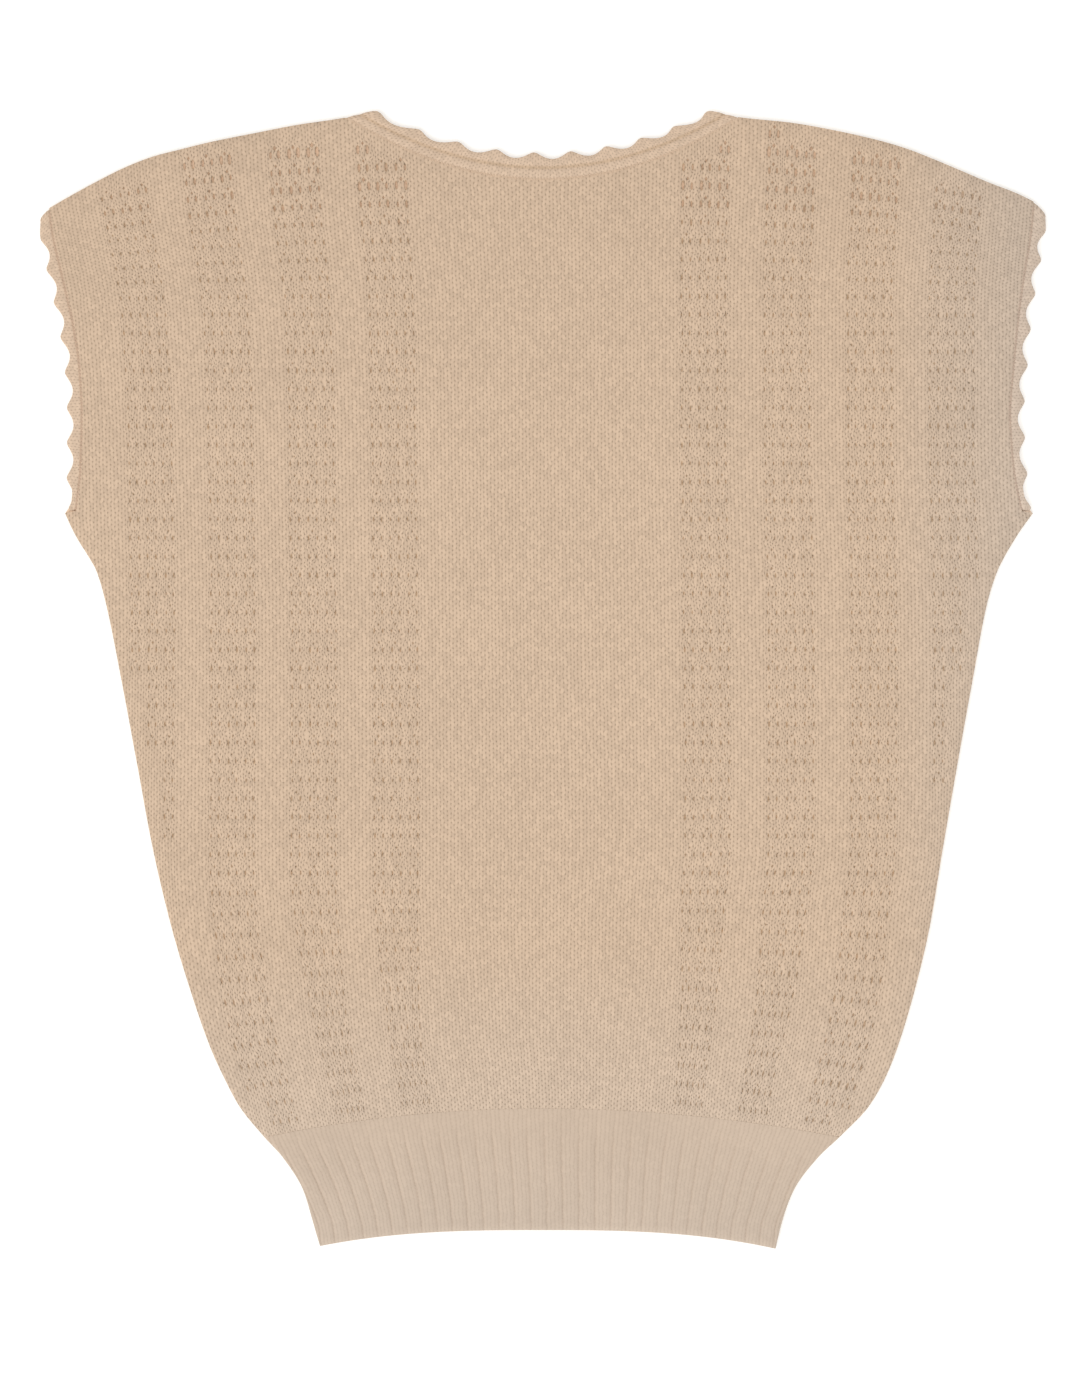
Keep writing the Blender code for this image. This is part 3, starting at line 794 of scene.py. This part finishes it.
# Across one rib, as shares of its width from furrow to furrow, and how deep each place lies below its crown.
Crest = namedtuple("Crest", "share depth")
RIB_PROFILE = (
    Crest(0.0, 1.0),
    Crest(0.05, 0.65),
    Crest(0.12, 0.2),
    Crest(0.25, 0.0),
    Crest(0.5, 0.06),
    Crest(0.75, 0.0),
    Crest(0.88, 0.2),
    Crest(0.95, 0.65),
)
# The rib's yarn, and its darker colour of painted shade between stitches.
RIB_COTTON = (0.625, 0.468, 0.338, 1.0)
RIB_PAINTED_SHADE = (0.533, 0.394, 0.280, 1.0)


def hem_up(across):
    ends = [side_edges(corner_up)[side] for side, corner_up in enumerate(HEM_CORNERS_UP)]
    on_left = across < NECK_MIDDLE
    corner_up = np.where(on_left, HEM_CORNERS_UP[0], HEM_CORNERS_UP[1])
    reach = np.abs(across / np.where(on_left, ends[0], ends[1]))
    return HEM_MIDDLE_UP - (HEM_MIDDLE_UP - corner_up) * reach ** HEM_CURVE


def rib_fan(up):
    return [smooth_column(RIB_FAN, "up", value, up) for value in ("middle", "pitch", "spread")]


def rib_spots(ribs, shares):
    """Where points of a rib band lie, across and up, from their rib and their share of the band's height."""
    up = HEM_MIDDLE_UP + shares * (JOIN_MIDDLE_UP - HEM_MIDDLE_UP)
    for turn in range(RIB_ROUNDS):
        middle, pitch, spread = rib_fan(up)
        across = middle + ribs * (pitch + spread * np.abs(ribs))
        left, right = side_edges(up)
        across = np.clip(across, left, right)
        up = hem_up(across) + shares * (join_up(across) - SEAM - hem_up(across))
    return across, up


def rib_band():
    """The flat layout of a rib band, with its points held to the band's two ends."""
    ribs = []
    depths = []
    for rib in range(-RIBS_EACH_SIDE, RIBS_EACH_SIDE):
        ribs += [rib + crest.share for crest in RIB_PROFILE]
        depths += [crest.depth * RIB_DEPTH for crest in RIB_PROFILE]
    count = len(ribs)
    shares = np.repeat(np.linspace(0.0, 1.0, RIB_ROWS + 1), count)
    across, up = rib_spots(np.tile(ribs, RIB_ROWS + 1), shares)
    fading = 1 - RIB_FADED * ease((shares - RIB_FADE) / (1 - RIB_FADE))
    facts = [(depth, 0.0, 0.0, 0.0) for depth in np.tile(depths, RIB_ROWS + 1) * fading]
    faces = []
    for row in range(RIB_ROWS):
        for step in range(count - 1):
            corner = row * count + step
            faces.append([corner, corner + 1, corner + 1 + count, corner + count])
    return merged(across, up, facts, faces)


def rib_marks(across, up):
    middle, pitch, spread = rib_fan(up)
    ribs = (across - middle) / pitch
    for turn in range(RIB_MARK_ROUNDS):
        ribs = (across - middle) / (pitch + spread * np.abs(ribs))
    return ribs * RIB_WALES, up / RIB_COURSE


rib_knit = knitted_cotton("rib_knit", RIB_COTTON, RIB_PAINTED_SHADE, RIB_RELIEF, RIB_RIGHT_PAINTED_SHADE, 0.6, 0.05)
rib_across, rib_up, rib_facts, rib_faces = rib_band()
rib_left, rib_right = side_edges(rib_up)
rib_inside = np.minimum(rib_across - rib_left, rib_right - rib_across)
rib_inside = np.minimum(rib_inside, rib_up - hem_up(rib_across))
rib_depths = rib_facts[:, 0]
stitches = rib_marks(rib_across, rib_up)
lower = np.full(len(rib_up), FRONT_UNDER)
upper = rim(rib_inside, FRONT_UNDER + WALL - rib_depths, FRONT_UNDER + RIM_HIGH)
front_rib = closed_cloth("front_hem_rib_cloth", rib_across, rib_up, rib_facts, lower, upper, rib_faces,
                         stitches, rib_knit)
lower = rim(rib_inside, rib_depths, WALL - RIM_HIGH)
upper = np.full(len(rib_up), WALL)
back_rib = closed_cloth("back_hem_rib_cloth", rib_across, rib_up, rib_facts, lower, upper, rib_faces,
                        stitches, rib_knit)
bands = (
    (front_rib, "front_hem_rib", "back_hem_rib_cloth"),
    (back_rib, "back_hem_rib", "table_top"),
)
for band, node, under in bands:
    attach(band, "root")
    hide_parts(node)


# The neck's edging: one band knitted on round the neckline and folded flat at both shoulders, so that half of
# it shows and half lies behind. A furrow runs along its middle, and nine open bites are cut into its edge.
NECK_BITES = 9
NECK_BITES_SHIFT = 0.06
BITE_DEPTH = 3.5
BITE_FROM = 0.5
BITE_BLUNT = 0.3
STEPS_PER_BITE = 14
FOLD_STEPS = 8
EDGING_CREASE = math.radians(60)
EDGING_RELIEF = 0.32
MIDDLE_HIGH = WALL + SEAM / 2
EDGING_WALE = 3.3
EDGING_COURSE = 2.2
NECK_WIDTH = 14.0
NECK_LENGTH = 205.0
# Across an edging from its seam, at 0, to its tips, at 1: how thick it is, and how much painted shade browns
# a furrow.
Section = namedtuple("Section", "share thick brown")
NECK_SECTION = (
    Section(0.0, 1.8, 0.0),
    Section(0.06, 1.95, 0.0),
    Section(0.16, 2.0, 0.0),
    Section(0.27, 2.0, 0.0),
    Section(0.34, 1.85, 0.95),
    Section(0.4, 1.6, 1.25),
    Section(0.46, 1.45, 1.38),
    Section(0.52, 1.6, 1.25),
    Section(0.59, 1.85, 0.95),
    Section(0.67, 2.0, 0.0),
    Section(0.78, 1.9, 0.0),
    Section(0.88, 1.7, 0.0),
    Section(0.95, 1.4, 0.0),
    Section(1.0, 0.9, 0.0),
)
# The edging's yarn, and its darker colour of painted shade between stitches.
EDGING_COTTON = (0.712, 0.535, 0.392, 1.0)
EDGING_PAINTED_SHADE = (0.480, 0.343, 0.238, 1.0)


def bite(phase):
    """How deep the scalloped edge is cut between two tips, from 0 at a tip to 1 in the middle."""
    depth = np.hypot(np.sin(np.pi * phase), BITE_BLUNT) - BITE_BLUNT
    return depth / (np.hypot(1, BITE_BLUNT) - BITE_BLUNT)


def past_middle(share):
    """How far a place is on its way from the middle of the edging, where the bites start, to the tips."""
    return max(share - BITE_FROM, 0.0) / (1 - BITE_FROM)


def folded_edging(name, base, bites, section, start_fold, end_fold, width, length):
    """An edging folded flat: over the front from start to end, under, and back along the hidden side."""
    steps = bites * STEPS_PER_BITE
    path = [(step / steps, 0.0, end_fold) for step in range(steps + 1)]
    path += [(1.0, math.pi * step / FOLD_STEPS, end_fold) for step in range(1, FOLD_STEPS)]
    path += [(1 - step / steps, math.pi, start_fold) for step in range(steps + 1)]
    path += [(0.0, math.pi * (1 - step / FOLD_STEPS), start_fold) for step in range(1, FOLD_STEPS)]
    around = [(row.share, -WALL / 2, 0.0) for row in section[::3]] + [(1.0, -WALL / 2, 0.0)]
    around += [(row.share, row.thick - WALL / 2, row.brown) for row in reversed(section)]
    radius = MIDDLE_HIGH - WALL / 2
    points = []
    marks = []
    for along, turn, fold in path:
        for share, height, _ in around:
            spot = np.array(base(along, share, turn > math.pi / 2))
            spot = spot + np.array(fold) * (radius + height) * math.sin(turn)
            high = MIDDLE_HIGH + (radius + height) * math.cos(turn)
            points.append((spot[0] * MM, (spot[1] - LENGTH / 2) * MM, high * MM))
            marks.append((along * length / EDGING_WALE, share * width / EDGING_COURSE))
    mesh = bpy.data.meshes.new(name)
    rounds = len(around)
    faces = []
    for step in range(len(path)):
        here = step * rounds
        after = (step + 1) % len(path) * rounds
        for place in range(rounds):
            beside = (place + 1) % rounds
            faces.append((here + place, after + place, after + beside, here + beside))
    mesh.from_pydata(points, [], faces)
    marked = mesh.uv_layers.new(name="knit")
    for loop, corner in zip(mesh.loops, marked.data):
        corner.uv = marks[loop.vertex_index]
    lacy = mesh.attributes.new("lacy", "FLOAT", "POINT")
    # The furrows' painted shade goes in as lacy values, which up to one also loosen the stitches' pattern
    # there.
    lacy.data.foreach_set("value", [brown for _, _, brown in around] * len(path))
    made = bmesh.new()
    made.from_mesh(mesh)
    bmesh.ops.remove_doubles(made, verts=made.verts[:], dist=SLIVER * MM)
    bmesh.ops.recalc_face_normals(made, faces=made.faces[:])
    made.to_mesh(mesh)
    made.free()
    mesh.polygons.foreach_set("use_smooth", [True] * len(mesh.polygons))
    mesh.set_sharp_from_angle(angle=EDGING_CREASE)
    mesh.materials.append(edging_knit)
    piece = bpy.data.objects.new(name, mesh)
    bpy.context.scene.collection.objects.link(piece)
    return piece


def neck_base(along, share, hidden):
    even = 2 * along - 1
    turn = neck_turn * (even + NECK_BITES_SHIFT * (1 - even * even))
    drop = HIDDEN_NECK_DROP if hidden else 0.0
    seam = np.array(neck_point(turn, 0.0, drop))
    spot = np.array(neck_point(turn, share, drop))
    inwards = (spot - seam) / max(np.linalg.norm(spot - seam), 1e-6)
    return spot - inwards * BITE_DEPTH * bite(along * NECK_BITES) * past_middle(share)


edging_knit = knitted_cotton("edging_knit", EDGING_COTTON, EDGING_PAINTED_SHADE, EDGING_RELIEF, RIGHT_PAINTED_SHADE, 0.14)
tangent = np.array([NECK_LINES[1].half_width, 2 * NECK_LINES[1].depth])
neck_turn = 1 - (WALL + SEAM / 2) / np.linalg.norm(tangent)
right_fold = tangent / np.linalg.norm(tangent)
left_fold = right_fold * np.array([-1, 1])
neck_edging = folded_edging("neck_edging", neck_base, NECK_BITES, NECK_SECTION, left_fold, right_fold,
                            NECK_WIDTH, NECK_LENGTH)
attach(neck_edging, "root")
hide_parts("neck_trim")


# The armhole edgings: narrow bands knitted on round each armhole and folded flat in the same way, with a
# furrow where they join the panels and eight open bites along their outer edge.
ARMHOLE_BITES = 8
ARMHOLE_WIDTH = 7.8
ARMHOLE_LENGTH = 160.0
UNDERARM_FOLD = (0.0, -1.0)
SHOULDER_FOLD = (0.2, 0.98)
SHOULDER_SLANT = 8
ARMHOLE_TIPS = {"left": (387.5, 535.5), "right": (389.5, 541.0)}
ARMHOLE_WIDTHS = (
    Edge(388.6, 5.4, 5.8),
    Edge(412.0, 7.6, 7.4),
    Edge(440.0, 8.2, 7.9),
    Edge(490.0, 8.1, 7.6),
    Edge(536.0, 6.5, 7.8),
    Edge(552.0, 4.0, 6.4),
)
# The armhole edging's furrow by its seam takes painted shade as well.
ARMHOLE_SECTION = (
    Section(0.0, 1.5, 1.3),
    Section(0.06, 1.65, 1.25),
    Section(0.14, 1.85, 0.9),
    Section(0.24, 2.0, 0.0),
    Section(0.6, 2.0, 0.0),
    Section(0.78, 1.85, 0.0),
    Section(0.9, 1.5, 0.0),
    Section(1.0, 0.9, 0.0),
)


def armhole_base(side, outwards, top):
    bottom = ARMHOLE_SEAMS[0].up + WALL + SEAM / 2
    first_tip, last_tip = ARMHOLE_TIPS[side]

    def base(along, share, hidden):
        up = bottom + (top - bottom) * along
        cut = bite(max(last_tip - up, 0.0) / (last_tip - first_tip) * ARMHOLE_BITES)
        seam = float(smooth_column(ARMHOLE_SEAMS, "up", side, up)) + outwards * (SEAM - TUCK)
        width = float(smooth_column(ARMHOLE_WIDTHS, "up", side, up)) - SEAM
        reach = share * width - BITE_DEPTH * cut * past_middle(share)
        return seam + outwards * reach, up - share * width * along ** SHOULDER_SLANT

    return base


for side, outwards in (("left", -1), ("right", 1)):
    seam_end = getattr(ARMHOLE_SEAMS[-1], side)
    tip_up = float(top_up(np.array(seam_end), 0.0)) - WALL - SEAM / 2
    shoulder_fold = (outwards * SHOULDER_FOLD[0], SHOULDER_FOLD[1])
    edging = folded_edging("armhole_edging_" + side, armhole_base(side, outwards, tip_up), ARMHOLE_BITES,
                           ARMHOLE_SECTION, UNDERARM_FOLD, shoulder_fold, ARMHOLE_WIDTH, ARMHOLE_LENGTH)
    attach(edging, "root")
    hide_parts("armhole_trim_" + side)


# The linking: a row of small loops in the same cotton closes each seam that shows, between the front panel
# and the edgings of the neck and the armholes. The armhole loops are darker, painted shade for the groove of
# their seam. The loops lie across their seam and lean to and fro.
Linking = namedtuple("Linking", "spacing length width high lean")
NECK_LINKING = Linking(1.65, 2.5, 1.35, 0.7, 0.22)
ARMHOLE_LINKING = Linking(1.9, 2.1, 1.7, 0.7, 0.3)
NECK_LINKING_HIGH = 4.02
NECK_LINKING_REACH = 0.965
NECK_LINKING_POINTS = 161
ARMHOLE_LINKING_HIGH = 3.82
ARMHOLE_LINKING_ENDS = (1.5, 3.0)
ARMHOLE_LINKING_POINTS = 121
LOOP_SEGMENTS = 6
LOOP_RINGS = 4
YARN_GRAIN = 420.0
YARN_RELIEF = 0.12
LINKING_COTTON = (0.640, 0.470, 0.335, 1.0)
# The armhole loops' darker cotton is painted shade for the groove of their seam.
SEAM_COTTON_IN_PAINTED_SHADE = (0.560, 0.395, 0.285, 1.0)


def linking_tree():
    """Geometry nodes that set one loop of yarn after another along a seam."""
    tree = bpy.data.node_groups.new("linking_row", "GeometryNodeTree")
    tree.interface.new_socket("Seam", in_out="INPUT", socket_type="NodeSocketGeometry")
    for label in ("Loop spacing", "Loop length", "Loop width", "Loop height", "Lean"):
        tree.interface.new_socket(label, in_out="INPUT", socket_type="NodeSocketFloat")
    tree.interface.new_socket("Yarn", in_out="INPUT", socket_type="NodeSocketMaterial")
    tree.interface.new_socket("Row", in_out="OUTPUT", socket_type="NodeSocketGeometry")
    given = tree.nodes.new("NodeGroupInput").outputs

    def node(kind, inputs=None, **settings):
        return add_node(tree, kind, inputs, **settings).outputs

    curve = node("GeometryNodeMeshToCurve", {0: given["Seam"]})[0]
    spacing = {"Curve": curve, "Length": given["Loop spacing"]}
    spots = node("GeometryNodeCurveToPoints", spacing, mode="LENGTH")
    round_loop = {"Segments": LOOP_SEGMENTS, "Rings": LOOP_RINGS, "Radius": 0.5}
    ball = node("GeometryNodeMeshUVSphere", round_loop)["Mesh"]
    sizes = {0: given["Loop width"], 1: given["Loop length"], 2: given["Loop height"]}
    scale = node("ShaderNodeCombineXYZ", sizes)[0]
    loop = node("GeometryNodeTransform", {"Geometry": ball, "Scale": scale})[0]
    loop = node("GeometryNodeSetShadeSmooth", {"Geometry": loop})[0]
    index = node("GeometryNodeInputIndex")[0]
    odd = node("ShaderNodeMath", {0: index, 1: 2.0}, operation="MODULO")[0]
    to_and_fro = node("ShaderNodeMath", {0: odd, 1: 2.0, 2: -1.0}, operation="MULTIPLY_ADD")[0]
    angle = node("ShaderNodeMath", {0: to_and_fro, 1: given["Lean"]}, operation="MULTIPLY")[0]
    tangent = {"Vector": spots["Tangent"]}
    along = node("FunctionNodeAlignRotationToVector", tangent, axis="X", pivot_axis="Z")[0]
    leaning = node("FunctionNodeAxisAngleToRotation", {"Axis": (0.0, 0.0, 1.0), "Angle": angle})[0]
    turned = node("FunctionNodeRotateRotation", {0: along, 1: leaning}, rotation_space="LOCAL")[0]
    row = {"Points": spots["Points"], "Instance": loop, "Rotation": turned}
    loops = node("GeometryNodeInstanceOnPoints", row)[0]
    made = node("GeometryNodeRealizeInstances", {"Geometry": loops})[0]
    finished = node("GeometryNodeSetMaterial", {"Geometry": made, "Material": given["Yarn"]})[0]
    tree.links.new(finished, tree.nodes.new("NodeGroupOutput").inputs[0])
    return tree


def spun_cotton(name, yarn):
    """Matte yarn drawn tight in a seam."""
    spun = Recipe(name)
    places = spun.node("ShaderNodeTexCoord").outputs["Object"]
    cloud = spun.node("ShaderNodeTexNoise", {"Vector": places, "Scale": YARN_GRAIN, "Detail": 2.0})
    bright = spun.math("MULTIPLY_ADD", cloud.outputs["Fac"], 0.3, 0.85)
    fuzz = spun.node("ShaderNodeTexNoise", {"Vector": places, "Scale": FUZZ_GRAIN, "Detail": 2.0})
    # The yarn takes the cotton's painted light: painted shade at the right and the neck, cool light towards
    # the rib.
    colour = spun.with_painted_light(places, yarn, RIGHT_PAINTED_SHADE)
    return spun.matte(colour, bright, fuzz.outputs["Fac"], YARN_RELIEF)


def linked_seam(name, across, up, high, linking, yarn):
    """One seam's row of loops, worked out by the nodes and kept as a plain mesh."""
    places = np.column_stack((across, up - LENGTH / 2, np.full(len(up), high))) * MM
    steps = [(number, number + 1) for number in range(len(places) - 1)]
    seam = bpy.data.meshes.new(name + "_seam")
    seam.from_pydata(places.tolist(), steps, [])
    guide = bpy.data.objects.new(name + "_seam", seam)
    bpy.context.scene.collection.objects.link(guide)
    row = guide.modifiers.new("linking", "NODES")
    row.node_group = linking_nodes
    values = {
        "Loop spacing": linking.spacing * MM,
        "Loop length": linking.length * MM,
        "Loop width": linking.width * MM,
        "Loop height": linking.high * MM,
        "Lean": linking.lean,
        "Yarn": yarn,
    }
    for socket in linking_nodes.interface.items_tree:
        if socket.in_out == "INPUT" and socket.name in values:
            row[socket.identifier] = values[socket.name]
    evaluated = guide.evaluated_get(bpy.context.evaluated_depsgraph_get())
    mesh = bpy.data.meshes.new_from_object(evaluated)
    guide.modifiers.remove(row)
    bpy.data.objects.remove(guide)
    piece = bpy.data.objects.new(name, mesh)
    bpy.context.scene.collection.objects.link(piece)
    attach(piece, "root")


linking_nodes = linking_tree()
linking_cotton = spun_cotton("linking_cotton", LINKING_COTTON)
neck_turns = np.linspace(-NECK_LINKING_REACH, NECK_LINKING_REACH, NECK_LINKING_POINTS)
neck_across, neck_up = neck_point(neck_turns, 0.0, 0.0)
linked_seam("neck_linking", neck_across, neck_up, NECK_LINKING_HIGH, NECK_LINKING, linking_cotton)
# The armhole loops take the darker cotton, painted shade for their seam's groove.
seam_cotton_in_painted_shade = spun_cotton("seam_cotton_in_painted_shade", SEAM_COTTON_IN_PAINTED_SHADE)
for side in ("left", "right"):
    seam_low = UNDERARM_UP + ARMHOLE_LINKING_ENDS[0]
    seam_high = top_up(getattr(ARMHOLE_SEAMS[-1], side), 0.0) - ARMHOLE_LINKING_ENDS[1]
    seam_up = np.linspace(seam_low, seam_high, ARMHOLE_LINKING_POINTS)
    seam_across = smooth_column(ARMHOLE_SEAMS, "up", side, seam_up)
    linked_seam("armhole_linking_" + side, seam_across, seam_up, ARMHOLE_LINKING_HIGH, ARMHOLE_LINKING,
                seam_cotton_in_painted_shade)
